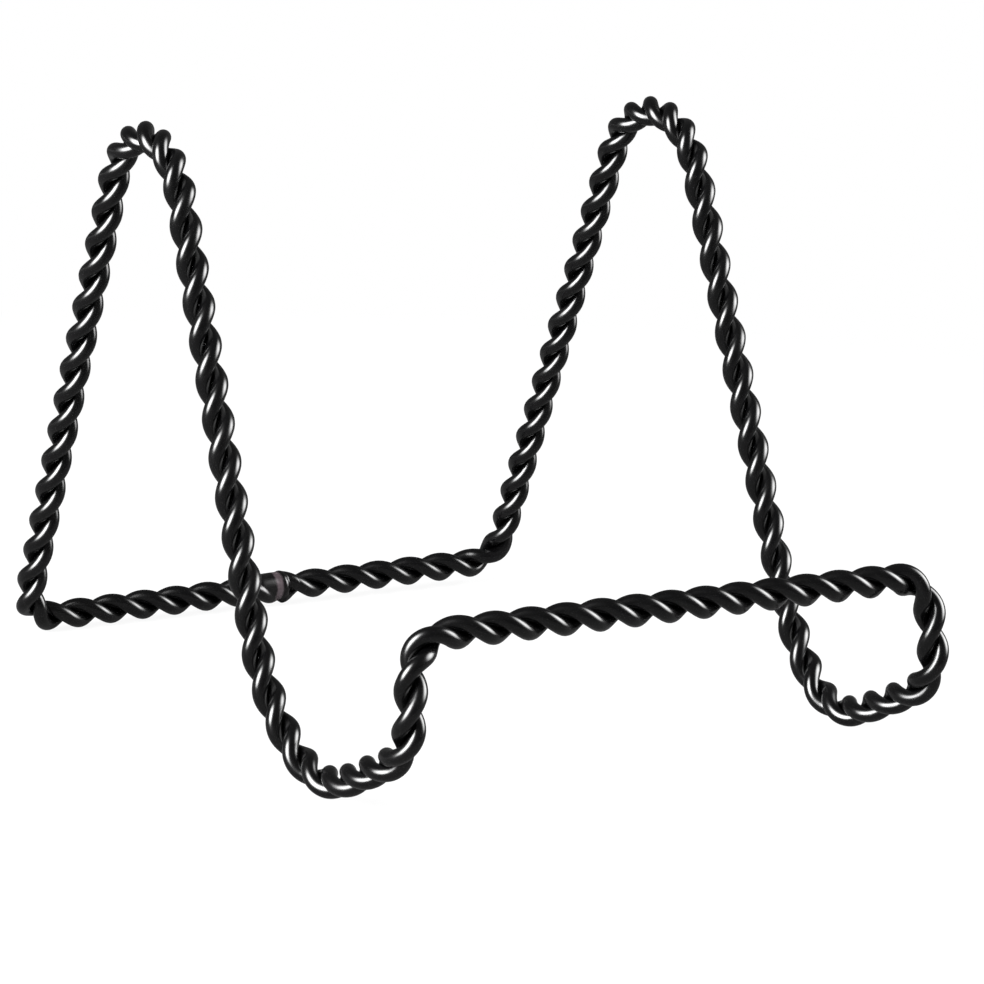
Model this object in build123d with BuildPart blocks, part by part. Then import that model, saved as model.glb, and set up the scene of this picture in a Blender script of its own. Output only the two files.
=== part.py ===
from build123d import *
import os
from math import cos, pi, radians, sin, tan

# Wire: two round steel wires are twisted into one bar, right-hand lay
wire_diameter = 3.0
wire_clearance = 0.2
section_sides = 7
steps_per_turn = 7

# Half widths from the middle of the easel to the middle of the bar
back_half_width = 55.7
peak_half_width = 56.9
knee_half_width = 58.5
foot_half_width = 56.7
ledge_half_width = 55.5

# Side view: forward is measured from the back crossbar, heights from the table. The middle of the
# bar lies one wire diameter above the table where it touches it.
peak_forward = 50.6
peak_corner_height = 132.0
heel_forward = 119.7
shank_run = 16.6
shank_rise = 15.2
sole_run = 32.2
sole_rise = 15.7
hook_lean = 3.5
hook_rise = 19.9

# The easel is slightly twisted: its right back corner stands this far off the table
back_right_lift = 1.5

# Bend radii, to the middle of the bar
back_bend = 6.9
peak_bend = 15.3
knee_bend = 46.0
heel_bend = 17.4
toe_bend = 10.6
ledge_bend = 7.9

# Lay: length of one full turn of the wires in each stretch, from the weld round by the left
lay_back_bar_left = 14.66
lay_back_leg_left = 14.15
lay_peak_left = 13.15
lay_front_leg_left = 14.60
lay_foot_left = 14.48
lay_ledge = 14.79
lay_foot_right = 14.97
lay_front_leg_right = 14.93
lay_peak_right = 12.59
lay_back_leg_right = 13.73
lay_back_bar_right = 15.41
lay_start_angle = -26.0

# Weld: the bar is closed into one loop by a butt weld in the back crossbar
weld_offset = 2.9
weld_gap = 1.6
weld_length = 5.2
weld_middle_diameter = 6.2
weld_end_diameter = 5.4
weld_sides = 10

# Each wire is drawn as short straight pieces. The bends of one wire face the middles of the
# other's pieces, and there the two stay apart by the clearance.
wire_radius = wire_diameter / 2
lay_radius = (wire_diameter + wire_clearance) / (1 + cos(pi / steps_per_turn))


def heel_corner_height():
    """Height of the corner that the heel bend rounds off, with the bend just on the table."""
    shank = Vector(0, shank_run, shank_rise).normalized()
    sole = Vector(0, -sole_run, sole_rise).normalized()
    half_angle = radians(shank.get_angle(sole) / 2)
    middle = (shank + sole).normalized()
    return wire_diameter + heel_bend * (1 - middle.Z / sin(half_angle))


def side_corners(back_lift):
    """Corners of one side of the bar, from the back crossbar round to the ledge."""
    back = Vector(back_half_width, 0, wire_diameter + back_lift)
    peak = Vector(peak_half_width, -peak_forward, peak_corner_height)
    heel = Vector(foot_half_width, -heel_forward, heel_corner_height())
    knee = Vector(knee_half_width, heel.Y + shank_run, heel.Z + shank_rise)
    toe = Vector(foot_half_width, heel.Y - sole_run, heel.Z + sole_rise)
    ledge = Vector(ledge_half_width, toe.Y + hook_lean, toe.Z + hook_rise)
    return [back, peak, knee, heel, toe, ledge]


right_corners = side_corners(back_right_lift)
left_corners = [Vector(-corner.X, corner.Y, corner.Z) for corner in side_corners(0)]
side_bends = [back_bend, peak_bend, knee_bend, heel_bend, toe_bend, ledge_bend]
crossbar = (right_corners[0] - left_corners[0]).normalized()
crossbar_middle = (right_corners[0] + left_corners[0]) / 2
weld_point = crossbar_middle + crossbar * weld_offset
half_weld_gap = crossbar * (weld_gap / 2)
bar_ends = [weld_point - half_weld_gap, weld_point + half_weld_gap]
route = bar_ends[:1] + left_corners + right_corners[::-1] + bar_ends[1:]
bends = side_bends + side_bends[::-1]

# Middle line of the bar: straight runs joined by tangent arcs
with BuildLine() as bar:
    FilletPolyline(*route, radius=bends)
bar_box = bar.wire().bounding_box()
centring = Vector(0, -(bar_box.min.Y + bar_box.max.Y) / 2, 0)
bar_line = bar.wire().moved(Location(centring))
bar_length = bar_line.length


def bend_stretches():
    """Where each bend starts and ends, as lengths along the bar."""
    stretches = []
    travelled = 0
    last_tangent = 0
    for before, corner, after, bend in zip(route, route[1:], route[2:], bends):
        turn = radians((corner - before).get_angle(after - corner))
        tangent = bend * tan(turn / 2)
        start = travelled + (corner - before).length - last_tangent - tangent
        travelled = start + bend * turn
        last_tangent = tangent
        stretches.append((start, travelled))
    return stretches


def middle_of(stretch):
    return (stretch[0] + stretch[1]) / 2


stretches = bend_stretches()
back_left, peak_left, knee_left, heel_left, toe_left, ledge_left = stretches[:6]
ledge_right, toe_right, heel_right, knee_right, peak_right, back_right = stretches[6:]
lays = [
    (middle_of(back_left), lay_back_bar_left),
    (peak_left[0], lay_back_leg_left),
    (peak_left[1], lay_peak_left),
    (middle_of(knee_left), lay_front_leg_left),
    (middle_of(ledge_left), lay_foot_left),
    (middle_of(ledge_right), lay_ledge),
    (middle_of(knee_right), lay_foot_right),
    (peak_right[0], lay_front_leg_right),
    (peak_right[1], lay_peak_right),
    (middle_of(back_right), lay_back_leg_right),
    (bar_length, lay_back_bar_right),
]


def turns_at(length):
    """Turns of lay up to this length along the bar."""
    turns = 0
    start = 0
    for end, lay in lays:
        turns += (min(end, length) - start) / lay
        if length <= end:
            break
        start = end
    return turns


def length_at(turns):
    """Length along the bar where the lay has made this many turns."""
    start = 0
    for end, lay in lays:
        here = (end - start) / lay
        if turns <= here or end == bar_length:
            break
        turns -= here
        start = end
    return start + turns * lay


def carried(normal, point, tangent, next_point, next_tangent):
    """The normal carried along a curve without spinning round it, by two reflections."""
    chord = next_point - point
    normal = normal - chord * (2 * chord.dot(normal) / chord.dot(chord))
    tangent = tangent - chord * (2 * chord.dot(tangent) / chord.dot(chord))
    change = next_tangent - tangent
    return normal - change * (2 * change.dot(normal) / change.dot(change))


def bar_stations():
    """Turns, point and two normals of the bar at each half step of the lay."""
    all_turns = turns_at(bar_length)
    steps = 2 * round(all_turns * steps_per_turn)
    point = bar_line.position_at(0)
    tangent = bar_line.tangent_at(0)
    normal = Vector(0, 1, 0).cross(tangent).normalized()
    stations = [(0, point, normal, tangent.cross(normal))]
    for step in range(1, steps + 1):
        turns = all_turns * step / steps
        share = min(length_at(turns) / bar_length, 1)
        next_point = bar_line.position_at(share)
        next_tangent = bar_line.tangent_at(share)
        normal = carried(normal, point, tangent, next_point, next_tangent).normalized()
        point = next_point
        tangent = next_tangent
        stations.append((turns, point, normal, tangent.cross(normal)))
    return stations


def wire_route(stations, start_angle):
    """Points of one wire, wound round the middle line of the bar."""
    points = []
    for turns, point, normal, binormal in stations:
        angle = radians(start_angle) + 2 * pi * turns
        points.append(point + (normal * cos(angle) + binormal * sin(angle)) * lay_radius)
    return points


os.makedirs("parts", exist_ok=True)
stations = bar_stations()

# First wire: one length of steel wire, bent on the whole steps of the lay
with BuildPart() as wire_first:
    with BuildLine() as first_line:
        Polyline(*wire_route(stations[::2], lay_start_angle))
    with BuildSketch(Plane(origin=first_line.line @ 0, z_dir=first_line.line % 0)):
        RegularPolygon(wire_radius, section_sides)
    sweep(transition=Transition.RIGHT)
wire_first.part.label = "wire_first"

# Second wire: the same wire half a turn round the bar, bent between the steps of the first
with BuildPart() as wire_second:
    with BuildLine() as second_line:
        between_steps = stations[:1] + stations[1::2] + stations[-1:]
        Polyline(*wire_route(between_steps, lay_start_angle + 180))
    with BuildSketch(Plane(origin=second_line.line @ 0, z_dir=second_line.line % 0)):
        RegularPolygon(wire_radius, section_sides)
    sweep(transition=Transition.RIGHT)
wire_second.part.label = "wire_second"

# Butt weld: a barrel of melted wire that closes the loop and fills the valleys round the wire ends
weld_plane = Plane(origin=weld_point + centring, x_dir=(0, 1, 0), z_dir=crossbar)
with BuildPart() as weld_bead:
    with BuildSketch(weld_plane.offset(-weld_length / 2)):
        RegularPolygon(weld_end_diameter / 2, weld_sides)
    with BuildSketch(weld_plane):
        RegularPolygon(weld_middle_diameter / 2, weld_sides)
    with BuildSketch(weld_plane.offset(weld_length / 2)):
        RegularPolygon(weld_end_diameter / 2, weld_sides)
    loft(ruled=True)
    add(wire_first.part, mode=Mode.SUBTRACT)
    add(wire_second.part, mode=Mode.SUBTRACT)
weld_bead.part.label = "weld_bead"

# The easel is set down on the table, which the lowest corner of the wires touches
lowest_corner = min(wire.part.bounding_box().min.Z for wire in (wire_first, wire_second))
for piece in (wire_first, wire_second, weld_bead):
    piece.part.move(Location((0, 0, -lowest_corner)))
export_step(wire_first.part, "parts/wire_first.step")
export_step(wire_second.part, "parts/wire_second.step")
export_step(weld_bead.part, "parts/weld_bead.step")
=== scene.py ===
import bpy
from math import cos, pi, radians, sin, tan
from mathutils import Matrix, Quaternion, Vector


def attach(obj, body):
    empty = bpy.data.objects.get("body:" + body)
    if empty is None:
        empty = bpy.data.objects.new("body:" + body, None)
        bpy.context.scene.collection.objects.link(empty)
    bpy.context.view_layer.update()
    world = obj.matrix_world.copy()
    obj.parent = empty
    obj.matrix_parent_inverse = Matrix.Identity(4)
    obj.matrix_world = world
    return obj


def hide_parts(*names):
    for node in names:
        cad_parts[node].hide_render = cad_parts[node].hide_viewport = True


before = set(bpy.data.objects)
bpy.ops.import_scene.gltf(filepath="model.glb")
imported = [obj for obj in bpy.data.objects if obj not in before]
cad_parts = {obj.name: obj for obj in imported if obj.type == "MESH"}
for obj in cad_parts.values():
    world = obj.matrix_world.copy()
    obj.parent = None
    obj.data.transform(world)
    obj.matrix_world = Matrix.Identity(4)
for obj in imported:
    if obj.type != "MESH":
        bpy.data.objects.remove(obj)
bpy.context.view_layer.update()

# First wire
# Round steel wire, drawn and cut to length, then twisted with a second one into a two-strand bar.
# The bar is bent into the easel afterwards, so both wires follow every bend, and it is dipped in
# gloss black enamel as a whole.
wire_diameter = 0.0030
wire_radius = wire_diameter / 2
steps_per_turn = 36
wire_sides = 24

# The strands touch, so the middle of each lies its own radius away from the bar's middle line
lay_radius = wire_radius
bar_radius = lay_radius + wire_radius

# Corners of the bar's middle line on the right side: half widths, depths and heights. Forward is
# measured from the back crossbar, which lies back_depth behind the middle of the easel.
back_half_width = 0.0557
peak_half_width = 0.0569
knee_half_width = 0.0585
foot_half_width = 0.0567
ledge_half_width = 0.0555
back_depth = 0.075335
peak_forward = 0.0506
peak_depth = back_depth - peak_forward
peak_corner_height = 0.1320
heel_forward = 0.1197
heel_depth = back_depth - heel_forward

# From its knee each front leg runs down a shank to the heel, along a sole to the toe, and up a
# hook to the ledge
shank_run = 0.0166
shank_rise = 0.0152
sole_run = 0.0322
sole_rise = 0.0157
hook_lean = 0.0035
hook_rise = 0.0199

# The easel is slightly twisted: its right back corner stands this far off the table
back_right_lift = 0.0015

# Bend radii of the middle line
back_bend = 0.0069
peak_bend = 0.0153
knee_bend = 0.0460
heel_bend = 0.0174
toe_bend = 0.0106
ledge_bend = 0.0079
side_bends = [back_bend, peak_bend, knee_bend, heel_bend, toe_bend, ledge_bend]
bends = side_bends + side_bends[::-1]

# The bar is closed by a weld a little to the right of the middle of the back crossbar
weld_offset = 0.0029
weld_gap = 0.0002
left_back_corner = Vector((-back_half_width, back_depth, bar_radius))
right_back_corner = Vector((back_half_width, back_depth, bar_radius + back_right_lift))
crossbar = (right_back_corner - left_back_corner).normalized()
weld_middle = (left_back_corner + right_back_corner) / 2 + crossbar * weld_offset


def heel_corner_height():
    """Height of the corner that the heel bend rounds off, with the bend just on the table."""
    shank = Vector((0, shank_run, shank_rise)).normalized()
    sole = Vector((0, -sole_run, sole_rise)).normalized()
    middle = (shank + sole).normalized()
    return bar_radius + heel_bend * (1 - middle.z / sin(shank.angle(sole) / 2))


def bar_corners():
    """Corners of the closed bar, from one side of the weld round by the left to the other."""
    heel_height = heel_corner_height()
    toe_height = heel_height + sole_rise
    right = [
        Vector((peak_half_width, peak_depth, peak_corner_height)),
        Vector((knee_half_width, heel_depth + shank_run, heel_height + shank_rise)),
        Vector((foot_half_width, heel_depth, heel_height)),
        Vector((foot_half_width, heel_depth - sole_run, toe_height)),
        Vector((ledge_half_width, heel_depth - sole_run + hook_lean, toe_height + hook_rise)),
    ]
    left = [Vector((-corner.x, corner.y, corner.z)) for corner in right]
    left_half = [weld_middle - crossbar * weld_gap / 2, left_back_corner] + left
    right_half = [weld_middle + crossbar * weld_gap / 2, right_back_corner] + right
    return left_half + right_half[::-1]


def bar_stretches():
    """Straight runs and bends of the bar: length, start, heading, and turning axis and angle."""
    corners = bar_corners()
    start = corners[0]
    stretches = []
    for before, corner, after, bend in zip(corners, corners[1:], corners[2:], bends):
        heading = (corner - before).normalized()
        next_heading = (after - corner).normalized()
        turn = heading.angle(next_heading)
        bend_start = corner - heading * bend * tan(turn / 2)
        stretches.append(((bend_start - start).length, start, heading, None, 0))
        axis = heading.cross(next_heading).normalized()
        stretches.append((bend * turn, bend_start, heading, axis, turn))
        start = corner + next_heading * bend * tan(turn / 2)
    heading = (corners[-1] - corners[-2]).normalized()
    stretches.append(((corners[-1] - start).length, start, heading, None, 0))
    return stretches


stretches = bar_stretches()
bar_length = sum(stretch[0] for stretch in stretches)


def bar_at(length):
    """Point of the middle line this far along it, with the two normals that are carried along."""
    normal = Vector((0, 1, 0)).cross(stretches[0][2])
    for run, start, heading, axis, turn in stretches:
        share = min(length / run, 1)
        if axis is None:
            point = start + heading * run * share
            direction = heading
        else:
            # The radius of a bend is its length divided by its turn
            inward = axis.cross(heading)
            rolled = Quaternion(axis, turn * share)
            centre = start + inward * run / turn
            point = centre - rolled @ inward * run / turn
            normal = rolled @ normal
            direction = rolled @ heading
        if length <= run:
            break
        length -= run
    return point, normal, direction.cross(normal)


# The twelve bends are numbered from the weld round by the left. The lay changes at these.
back_left = 0
peak_left = 1
knee_left = 2
ledge_left = 5
ledge_right = 6
knee_right = 9
peak_right = 10
back_right = 11


def middle_of_bend(number):
    """Length along the bar to the middle of this bend: runs and bends take turns along it."""
    place = 2 * number + 1
    return sum(stretch[0] for stretch in stretches[:place]) + stretches[place][0] / 2


def ends_of_bend(number):
    """Lengths along the bar where this bend starts and ends."""
    half = stretches[2 * number + 1][0] / 2
    return middle_of_bend(number) - half, middle_of_bend(number) + half


# Lay: length of one full turn of the wires in each stretch, tighter round the peaks
lay_back_bar_left = 0.01466
lay_back_leg_left = 0.01415
lay_peak_left = 0.01315
lay_front_leg_left = 0.01460
lay_foot_left = 0.01448
lay_ledge = 0.01479
lay_foot_right = 0.01497
lay_front_leg_right = 0.01493
lay_peak_right = 0.01259
lay_back_leg_right = 0.01373
lay_back_bar_right = 0.01541

# Where along the bar each stretch of even lay ends, with its lay
left_peak_start, left_peak_end = ends_of_bend(peak_left)
right_peak_start, right_peak_end = ends_of_bend(peak_right)
lays = [
    (middle_of_bend(back_left), lay_back_bar_left),
    (left_peak_start, lay_back_leg_left),
    (left_peak_end, lay_peak_left),
    (middle_of_bend(knee_left), lay_front_leg_left),
    (middle_of_bend(ledge_left), lay_foot_left),
    (middle_of_bend(ledge_right), lay_ledge),
    (middle_of_bend(knee_right), lay_foot_right),
    (right_peak_start, lay_front_leg_right),
    (right_peak_end, lay_peak_right),
    (middle_of_bend(back_right), lay_back_leg_right),
    (bar_length, lay_back_bar_right),
]


def wind_wire(name, start_angle):
    """One wire: a round curve wound round the middle line with a right-hand lay, made a mesh."""
    points = []
    start = 0
    angle = radians(start_angle)
    for end, lay in lays:
        steps = round((end - start) / lay * steps_per_turn)
        for step in range(steps):
            share = step / steps
            point, normal, binormal = bar_at(start + (end - start) * share)
            here = angle + 2 * pi * (end - start) / lay * share
            points.append(point + (normal * cos(here) + binormal * sin(here)) * lay_radius)
        angle += 2 * pi * (end - start) / lay
        start = end
    point, normal, binormal = bar_at(bar_length)
    points.append(point + (normal * cos(angle) + binormal * sin(angle)) * lay_radius)
    curve = bpy.data.curves.new(name, "CURVE")
    curve.dimensions = "3D"
    curve.bevel_depth = wire_radius
    # A round bevel has four sides, and two more for each step of its resolution
    curve.bevel_resolution = wire_sides // 2 - 2
    curve.use_fill_caps = True
    spline = curve.splines.new("POLY")
    spline.points.add(len(points) - 1)
    for place, point in zip(spline.points, points):
        place.co = (*point, 1)
    wire = bpy.data.objects.new(name, curve)
    bpy.context.collection.objects.link(wire)
    bpy.ops.object.select_all(action="DESELECT")
    bpy.context.view_layer.objects.active = wire
    wire.select_set(True)
    bpy.ops.object.convert(target="MESH")
    bpy.ops.object.shade_smooth()
    return bpy.context.active_object


def enamel_skin():
    """Node group of the dipped enamel: orange peel, thin and thick patches, and a little dust."""
    group = bpy.data.node_groups.new("enamel_skin", "ShaderNodeTree")
    sockets = [
        ("Enamel", "INPUT", "NodeSocketColor"),
        ("Gloss roughness", "INPUT", "NodeSocketFloat"),
        ("Dust", "INPUT", "NodeSocketFloat"),
        ("Peel depth", "INPUT", "NodeSocketFloat"),
        ("Color", "OUTPUT", "NodeSocketColor"),
        ("Roughness", "OUTPUT", "NodeSocketFloat"),
        ("Normal", "OUTPUT", "NodeSocketVector"),
    ]
    for name, side, kind in sockets:
        group.interface.new_socket(name=name, in_out=side, socket_type=kind)
    nodes = group.nodes
    links = group.links
    given = nodes.new("NodeGroupInput")
    result = nodes.new("NodeGroupOutput")
    place = nodes.new("ShaderNodeTexCoord")

    # Fine specks of pale dust, strongest in patches
    specks = nodes.new("ShaderNodeTexNoise")
    specks.inputs["Scale"].default_value = 5200
    specks.inputs["Detail"].default_value = 3
    patches = nodes.new("ShaderNodeTexNoise")
    patches.inputs["Scale"].default_value = 160
    patches.inputs["Detail"].default_value = 4
    speck_mask = nodes.new("ShaderNodeMapRange")
    speck_mask.inputs["From Min"].default_value = 0.58
    speck_mask.inputs["From Max"].default_value = 0.75
    speck_share = nodes.new("ShaderNodeMath")
    speck_share.operation = "MULTIPLY"
    dust_share = nodes.new("ShaderNodeMath")
    dust_share.operation = "MULTIPLY"
    dusty = nodes.new("ShaderNodeMix")
    dusty.data_type = "RGBA"
    dusty.inputs["B"].default_value = (0.16, 0.15, 0.14, 1)
    links.new(place.outputs["Object"], specks.inputs["Vector"])
    links.new(place.outputs["Object"], patches.inputs["Vector"])
    links.new(specks.outputs["Fac"], speck_mask.inputs["Value"])
    links.new(speck_mask.outputs["Result"], speck_share.inputs[0])
    links.new(patches.outputs["Fac"], speck_share.inputs[1])
    links.new(speck_share.outputs["Value"], dust_share.inputs[0])
    links.new(given.outputs["Dust"], dust_share.inputs[1])
    links.new(dust_share.outputs["Value"], dusty.inputs["Factor"])
    links.new(given.outputs["Enamel"], dusty.inputs["A"])
    links.new(dusty.outputs["Result"], result.inputs["Color"])

    # Thin and thick patches differ a little in gloss
    gloss = nodes.new("ShaderNodeMapRange")
    gloss.inputs["From Min"].default_value = 0.3
    gloss.inputs["From Max"].default_value = 0.7
    gloss.inputs["To Min"].default_value = -0.03
    gloss.inputs["To Max"].default_value = 0.05
    rough = nodes.new("ShaderNodeMath")
    rough.operation = "ADD"
    links.new(patches.outputs["Fac"], gloss.inputs["Value"])
    links.new(gloss.outputs["Result"], rough.inputs[0])
    links.new(given.outputs["Gloss roughness"], rough.inputs[1])
    links.new(rough.outputs["Value"], result.inputs["Roughness"])

    # Orange peel: a shallow wave about two thirds of a millimetre long
    peel = nodes.new("ShaderNodeTexNoise")
    peel.inputs["Scale"].default_value = 1500
    peel.inputs["Detail"].default_value = 1.5
    bump = nodes.new("ShaderNodeBump")
    bump.inputs["Distance"].default_value = 0.00004
    links.new(place.outputs["Object"], peel.inputs["Vector"])
    links.new(peel.outputs["Fac"], bump.inputs["Height"])
    links.new(given.outputs["Peel depth"], bump.inputs["Strength"])
    links.new(bump.outputs["Normal"], result.inputs["Normal"])
    return group


skin_group = enamel_skin()


def enamel(name, colour, roughness, dust, peel):
    """Gloss black enamel with this colour, gloss, dust and depth of orange peel."""
    material = bpy.data.materials.new(name)
    material.use_nodes = True
    nodes = material.node_tree.nodes
    links = material.node_tree.links
    skin = nodes["Principled BSDF"]
    skin.inputs["IOR"].default_value = 1.48
    detail = nodes.new("ShaderNodeGroup")
    detail.name = "enamel_detail"
    detail.node_tree = skin_group
    detail.inputs["Enamel"].default_value = (*colour, 1)
    detail.inputs["Gloss roughness"].default_value = roughness
    detail.inputs["Dust"].default_value = dust
    detail.inputs["Peel depth"].default_value = peel
    links.new(detail.outputs["Color"], skin.inputs["Base Color"])
    links.new(detail.outputs["Roughness"], skin.inputs["Roughness"])
    links.new(detail.outputs["Normal"], skin.inputs["Normal"])
    return material


# Where the first strand starts at the weld, in degrees round the bar
lay_start_angle = -43.2
wire_black = (0.0004, 0.0004, 0.0005)
wire_enamel = enamel("wire_enamel", wire_black, roughness=0.20, dust=0.05, peel=0.06)
first_wire = wind_wire("first_wire", lay_start_angle)
first_wire.data.materials.append(wire_enamel)
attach(first_wire, "root")
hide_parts("wire_first")

# Second wire
# The same steel wire, lying half a turn round the bar from the first one. Both run side by side
# round the whole easel, from one side of the weld to the other, under the same enamel.
second_wire = wind_wire("second_wire", lay_start_angle + 180)
second_wire.data.materials.append(wire_enamel)
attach(second_wire, "root")
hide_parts("wire_second")

# Butt weld
# The bar is cut off square at both ends, which are butted and melted together. The melt fills the
# valleys between the strands, mostly on top, and the ends are upset a little, the right one more.
# It is enamelled with the rest, but along the seam a band of scale shows, made paler by a painted
# highlight of the left light on the seam's ridge.
seam_shift = -0.0011
seam = weld_middle + crossbar * seam_shift

# The barrel of melt lies a little left of the seam and rides high on the strands
melt_length = 0.0075
melt_diameter = 0.0054
melt_shift = -0.00115
melt_rise = Vector((0, 0.00015, 0.00040))
melt_shoulder = 0.0012
melt_voxel = 0.00009

# How far the strands are melted in, how much they swell there, and the step at the seam
weld_reach = 0.0048
weld_swell = 0.00014
seam_step = 0.00036
step_start = 0.0006
step_length = 0.0008
bpy.ops.object.select_all(action="DESELECT")
bpy.ops.mesh.primitive_cylinder_add(
    vertices=48,
    radius=melt_diameter / 2,
    depth=melt_length,
    location=seam + crossbar * melt_shift + melt_rise,
    rotation=crossbar.to_track_quat("Z", "Y").to_euler(),
)
weld = bpy.context.active_object
weld.name = "weld"
bpy.ops.object.transform_apply(location=True, rotation=True)
shoulder = weld.modifiers.new("shoulder", "BEVEL")
shoulder.width = melt_shoulder
shoulder.segments = 8
bpy.ops.object.modifier_apply(modifier=shoulder.name)

# Both strands are melted in on each side of the seam. Each copy of a strand is first cut down to
# the crossbar, a few wires deep, and then to the reach of the weld.
crossbar_depth = 3 * wire_diameter
crossbar_front = (0, back_depth - crossbar_depth, 0)
for wire in (first_wire, second_wire):
    strand = wire.copy()
    strand.data = wire.data.copy()
    bpy.context.collection.objects.link(strand)
    bpy.ops.object.select_all(action="DESELECT")
    bpy.context.view_layer.objects.active = strand
    strand.select_set(True)
    bpy.ops.object.mode_set(mode="EDIT")
    bpy.ops.mesh.select_all(action="SELECT")
    bpy.ops.mesh.bisect(plane_co=crossbar_front, plane_no=(0, -1, 0), clear_outer=True)
    for side in (-1, 1):
        cut = seam + crossbar * side * weld_reach
        bpy.ops.mesh.select_all(action="SELECT")
        bpy.ops.mesh.bisect(plane_co=cut, plane_no=crossbar * side, use_fill=True, clear_outer=True)
    bpy.ops.object.mode_set(mode="OBJECT")
    weld.select_set(True)
    bpy.context.view_layer.objects.active = weld
    bpy.ops.object.join()
melt = weld.modifiers.new("melt", "REMESH")
melt.mode = "VOXEL"
melt.voxel_size = melt_voxel
melt.use_smooth_shade = True
bpy.ops.object.modifier_apply(modifier=melt.name)

# The strands swell towards the seam, and the right end steps up from the left one. Then the melt
# flows smooth.
for spot in weld.data.vertices:
    along = (spot.co - seam).dot(crossbar)
    outward = (spot.co - seam - crossbar * along).normalized()
    swell = weld_swell * max(0, 1 - (along / weld_reach) ** 2)
    step = min(max((along - step_start) / step_length, 0), 1)
    fading = max(0, 1 - along / weld_reach)
    spot.co += outward * (swell + seam_step * step * step * (3 - 2 * step) * fading)
flow = weld.modifiers.new("flow", "SMOOTH")
flow.factor = 0.5
flow.iterations = 60
bpy.ops.object.modifier_apply(modifier=flow.name)

# Along the seam the enamel is thin, and the grey-brown scale of the melt shows through, in a band
# whose edges wander. The band is also painted paler, as a painted highlight of the left light on
# the seam's ridge.
melt_black = (0.0007, 0.0006, 0.0007)
dark_scale_and_highlight = (0.010, 0.006, 0.0075)
pale_scale_and_highlight = (0.070, 0.056, 0.062)
full_band_reach = 0.0004
last_band_reach = 0.0010
edge_wander = 0.0005
melt_enamel = enamel("weld_enamel", melt_black, roughness=0.22, dust=0.12, peel=0.06)
melt_nodes = melt_enamel.node_tree.nodes
melt_links = melt_enamel.node_tree.links
melt_place = melt_nodes.new("ShaderNodeTexCoord")
from_seam = melt_nodes.new("ShaderNodeVectorMath")
from_seam.operation = "SUBTRACT"
from_seam.inputs[1].default_value = seam
along_bar = melt_nodes.new("ShaderNodeVectorMath")
along_bar.operation = "DOT_PRODUCT"
along_bar.inputs[1].default_value = crossbar
ragged = melt_nodes.new("ShaderNodeTexNoise")
ragged.inputs["Scale"].default_value = 900
ragged.inputs["Detail"].default_value = 3
ragged_edge = melt_nodes.new("ShaderNodeMath")
ragged_edge.operation = "MULTIPLY_ADD"
ragged_edge.inputs[1].default_value = edge_wander
band_side = melt_nodes.new("ShaderNodeMath")
band_side.operation = "SUBTRACT"
band_side.inputs[1].default_value = edge_wander / 2
from_band = melt_nodes.new("ShaderNodeMath")
from_band.operation = "ABSOLUTE"
band = melt_nodes.new("ShaderNodeMapRange")
band.interpolation_type = "SMOOTHSTEP"
band.inputs["From Min"].default_value = full_band_reach
band.inputs["From Max"].default_value = last_band_reach
band.inputs["To Min"].default_value = 1
band.inputs["To Max"].default_value = 0
# Painted highlight: the band's pale colour stands in partly for the left light on the seam's ridge
scale_and_highlight_colour = melt_nodes.new("ShaderNodeMix")
scale_and_highlight_colour.data_type = "RGBA"
scale_and_highlight_colour.inputs["A"].default_value = (*dark_scale_and_highlight, 1)
scale_and_highlight_colour.inputs["B"].default_value = (*pale_scale_and_highlight, 1)
melt_colour = melt_nodes.new("ShaderNodeMix")
melt_colour.data_type = "RGBA"
melt_detail = melt_nodes["enamel_detail"]
melt_links.new(melt_place.outputs["Object"], from_seam.inputs[0])
melt_links.new(melt_place.outputs["Object"], ragged.inputs["Vector"])
melt_links.new(from_seam.outputs["Vector"], along_bar.inputs[0])
melt_links.new(ragged.outputs["Fac"], ragged_edge.inputs[0])
melt_links.new(along_bar.outputs["Value"], ragged_edge.inputs[2])
melt_links.new(ragged_edge.outputs["Value"], band_side.inputs[0])
melt_links.new(band_side.outputs["Value"], from_band.inputs[0])
melt_links.new(from_band.outputs["Value"], band.inputs["Value"])
melt_links.new(ragged.outputs["Fac"], scale_and_highlight_colour.inputs["Factor"])
melt_links.new(band.outputs["Result"], melt_colour.inputs["Factor"])
melt_links.new(melt_detail.outputs["Color"], melt_colour.inputs["A"])
melt_links.new(scale_and_highlight_colour.outputs["Result"], melt_colour.inputs["B"])
melt_links.new(melt_colour.outputs["Result"], melt_nodes["Principled BSDF"].inputs["Base Color"])
weld.data.materials.clear()
weld.data.materials.append(melt_enamel)
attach(weld, "root")
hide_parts("weld_bead")

# Floor
# A plain white table. The camera sees it white, and near the easel it keeps the soft shadow. The
# enamel mirrors it dim, as in the photograph, with a painted glow far out towards the left light.
floor_width = 8
floor_clearance = 0.00005
dim_white = 0.12
bpy.ops.object.select_all(action="DESELECT")
bpy.ops.mesh.primitive_plane_add(size=floor_width, location=(0, 0, -floor_clearance))
floor = bpy.context.active_object
floor.name = "floor"
bpy.ops.object.transform_apply(location=True)
paper = bpy.data.materials.new("floor_paper")
paper.use_nodes = True
floor_nodes = paper.node_tree.nodes
floor_links = paper.node_tree.links
floor_skin = floor_nodes["Principled BSDF"]
floor_skin.inputs["Base Color"].default_value = (0.8, 0.8, 0.8, 1)
floor_skin.inputs["Roughness"].default_value = 1
floor_skin.inputs["Specular IOR Level"].default_value = 0
floor_place = floor_nodes.new("ShaderNodeTexCoord")
seen = floor_nodes.new("ShaderNodeLightPath")
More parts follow.
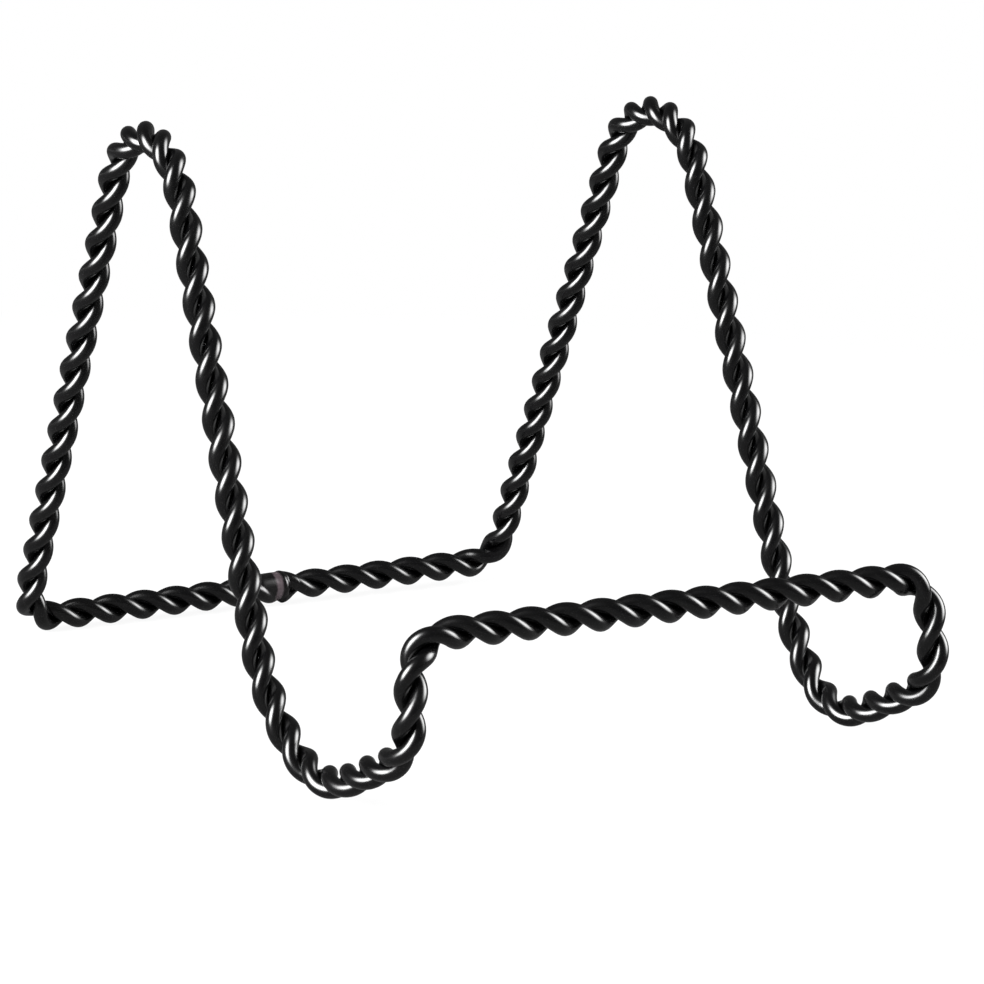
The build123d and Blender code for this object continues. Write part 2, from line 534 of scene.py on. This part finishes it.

# The white is full for the camera, and dim for the enamel except far out on the left, where a
# painted glow stands in for the left light falling on the table
floor_sides = floor_nodes.new("ShaderNodeSeparateXYZ")
mirrored_floor = floor_nodes.new("ShaderNodeMapRange")
mirrored_floor.inputs["From Min"].default_value = -1.60
mirrored_floor.inputs["From Max"].default_value = -0.12
mirrored_floor.inputs["To Min"].default_value = 1
mirrored_floor.inputs["To Max"].default_value = dim_white
whiteness = floor_nodes.new("ShaderNodeMix")
whiteness.inputs["B"].default_value = 1
white = floor_nodes.new("ShaderNodeEmission")
white.inputs["Color"].default_value = (1, 1, 1, 1)
floor_links.new(floor_place.outputs["Object"], floor_sides.inputs["Vector"])
floor_links.new(floor_sides.outputs["X"], mirrored_floor.inputs["Value"])
floor_links.new(seen.outputs["Is Camera Ray"], whiteness.inputs["Factor"])
floor_links.new(mirrored_floor.outputs["Result"], whiteness.inputs["A"])
floor_links.new(whiteness.outputs["Result"], white.inputs["Strength"])

# It shows wherever the floor is seen or mirrored, a little less near the easel and its shadow
floor_reach = floor_nodes.new("ShaderNodeVectorMath")
floor_reach.operation = "LENGTH"
floor_fade = floor_nodes.new("ShaderNodeMapRange")
floor_fade.inputs["From Min"].default_value = 0.12
floor_fade.inputs["From Max"].default_value = 0.40
floor_fade.inputs["To Min"].default_value = 0.93
floor_fade.inputs["To Max"].default_value = 1
seen_or_mirrored = floor_nodes.new("ShaderNodeMath")
seen_or_mirrored.operation = "ADD"
seen_at_all = floor_nodes.new("ShaderNodeMath")
seen_at_all.operation = "ADD"
seen_at_all.use_clamp = True
white_share = floor_nodes.new("ShaderNodeMath")
white_share.operation = "MULTIPLY"
floor_mix = floor_nodes.new("ShaderNodeMixShader")
floor_links.new(floor_place.outputs["Object"], floor_reach.inputs[0])
floor_links.new(floor_reach.outputs["Value"], floor_fade.inputs["Value"])
floor_links.new(seen.outputs["Is Camera Ray"], seen_or_mirrored.inputs[0])
floor_links.new(seen.outputs["Is Glossy Ray"], seen_or_mirrored.inputs[1])
floor_links.new(seen_or_mirrored.outputs["Value"], seen_at_all.inputs[0])
floor_links.new(seen.outputs["Is Transmission Ray"], seen_at_all.inputs[1])
floor_links.new(seen_at_all.outputs["Value"], white_share.inputs[0])
floor_links.new(floor_fade.outputs["Result"], white_share.inputs[1])
floor_links.new(white_share.outputs["Value"], floor_mix.inputs["Fac"])
floor_links.new(floor_skin.outputs["BSDF"], floor_mix.inputs[1])
floor_links.new(white.outputs["Emission"], floor_mix.inputs[2])
floor_links.new(floor_mix.outputs["Shader"], floor_nodes["Material Output"].inputs["Surface"])
floor.data.materials.append(paper)

# Studio light
# A dim studio whose far wall is white to the camera and dim in the enamel, with two soft boxes: a
# strong one on the left and a weaker one on the right, both turned down towards the easel.
room_light = 0.12
world = bpy.data.worlds.new("studio")
bpy.context.scene.world = world
world.use_nodes = True
air_nodes = world.node_tree.nodes
air_links = world.node_tree.links

# The room lights what stands in it, and the wall is what is seen or mirrored beyond the floor
room = air_nodes["Background"]
room.inputs["Color"].default_value = (0.92, 0.95, 1, 1)
room.inputs["Strength"].default_value = room_light
wall = air_nodes.new("ShaderNodeBackground")
wall.inputs["Color"].default_value = (1, 1, 1, 1)
air_path = air_nodes.new("ShaderNodeLightPath")
wall_strength = air_nodes.new("ShaderNodeMapRange")
wall_strength.inputs["To Min"].default_value = dim_white
wall_strength.inputs["To Max"].default_value = 1
wall_mirrored = air_nodes.new("ShaderNodeMath")
wall_mirrored.operation = "ADD"
wall_seen = air_nodes.new("ShaderNodeMath")
wall_seen.operation = "ADD"
wall_seen.use_clamp = True
air_mix = air_nodes.new("ShaderNodeMixShader")
air_links.new(air_path.outputs["Is Camera Ray"], wall_strength.inputs["Value"])
air_links.new(wall_strength.outputs["Result"], wall.inputs["Strength"])
air_links.new(air_path.outputs["Is Glossy Ray"], wall_mirrored.inputs[0])
air_links.new(air_path.outputs["Is Transmission Ray"], wall_mirrored.inputs[1])
air_links.new(wall_mirrored.outputs["Value"], wall_seen.inputs[0])
air_links.new(air_path.outputs["Is Camera Ray"], wall_seen.inputs[1])
air_links.new(wall_seen.outputs["Value"], air_mix.inputs["Fac"])
air_links.new(room.outputs["Background"], air_mix.inputs[1])
air_links.new(wall.outputs["Background"], air_mix.inputs[2])
air_links.new(air_mix.outputs["Shader"], air_nodes["World Output"].inputs["Surface"])


def direction_to(turn, rise):
    """Direction from the easel by degrees: turned from the front towards the right, and raised."""
    turn = radians(turn)
    rise = radians(rise)
    return Vector((sin(turn) * cos(rise), -cos(turn) * cos(rise), sin(rise)))


light_aim = Vector((0, 0, 0.05))


def soft_box(name, turn, rise, distance, width, height, power):
    """A studio light behind a diffuser, brightest in its middle, placed by its direction."""
    lamp = bpy.data.lights.new(name, "AREA")
    lamp.shape = "ELLIPSE"
    lamp.size = width
    lamp.size_y = height
    lamp.energy = power
    lamp.use_nodes = True
    nodes = lamp.node_tree.nodes
    links = lamp.node_tree.links

    # A place on the lamp runs from 0 to 1 each way, and the light fades out towards its rim
    half_lamp = 0.5
    spot = nodes.new("ShaderNodeNewGeometry")
    centred = nodes.new("ShaderNodeVectorMath")
    centred.operation = "SUBTRACT"
    centred.inputs[1].default_value = (half_lamp, half_lamp, 0)
    reach = nodes.new("ShaderNodeVectorMath")
    reach.operation = "LENGTH"
    square = nodes.new("ShaderNodeMath")
    square.operation = "POWER"
    square.inputs[1].default_value = 2
    dimming = nodes.new("ShaderNodeMapRange")
    dimming.inputs["From Max"].default_value = half_lamp ** 2
    dimming.inputs["To Min"].default_value = 1
    dimming.inputs["To Max"].default_value = 0
    falloff = nodes.new("ShaderNodeMath")
    falloff.operation = "POWER"
    falloff.inputs[1].default_value = 2
    links.new(spot.outputs["Parametric"], centred.inputs[0])
    links.new(centred.outputs["Vector"], reach.inputs[0])
    links.new(reach.outputs["Value"], square.inputs[0])
    links.new(square.outputs["Value"], dimming.inputs["Value"])
    links.new(dimming.outputs["Result"], falloff.inputs[0])
    links.new(falloff.outputs["Value"], nodes["Emission"].inputs["Strength"])
    box = bpy.data.objects.new(name, lamp)
    bpy.context.collection.objects.link(box)
    outward = direction_to(turn, rise)
    box.location = light_aim + outward * distance
    box.rotation_euler = outward.to_track_quat("Z", "Y").to_euler()


soft_box("left_box", turn=-84, rise=24, distance=1.2, width=1.20, height=1.65, power=240)
soft_box("right_box", turn=67, rise=26, distance=1.2, width=1.25, height=1.60, power=102)

# Camera
# The photograph was taken with a long lens from the front left, slightly above the easel. The
# camera's angles, in degrees, its distance, its aim and its lens are fitted to the outline there.
camera_turn = -32.504
camera_rise = 12.780
camera_roll = 2.2213
camera_distance = 0.8239
camera_aim = Vector((-0.001603, -0.012615, 0.043160))
away = direction_to(camera_turn, camera_rise)
camera_data = bpy.data.cameras.new("camera")
camera_data.sensor_width = 36
camera_data.lens = 159.80
camera_data.clip_start = 0.01
camera_data.clip_end = 20
camera = bpy.data.objects.new("camera", camera_data)
bpy.context.collection.objects.link(camera)
camera.location = camera_aim + away * camera_distance
level = away.to_track_quat("Z", "Y")
camera.rotation_euler = (Quaternion(away, radians(camera_roll)) @ level).to_euler()
bpy.context.scene.camera = camera
bpy.context.scene.view_settings.view_transform = "Standard"
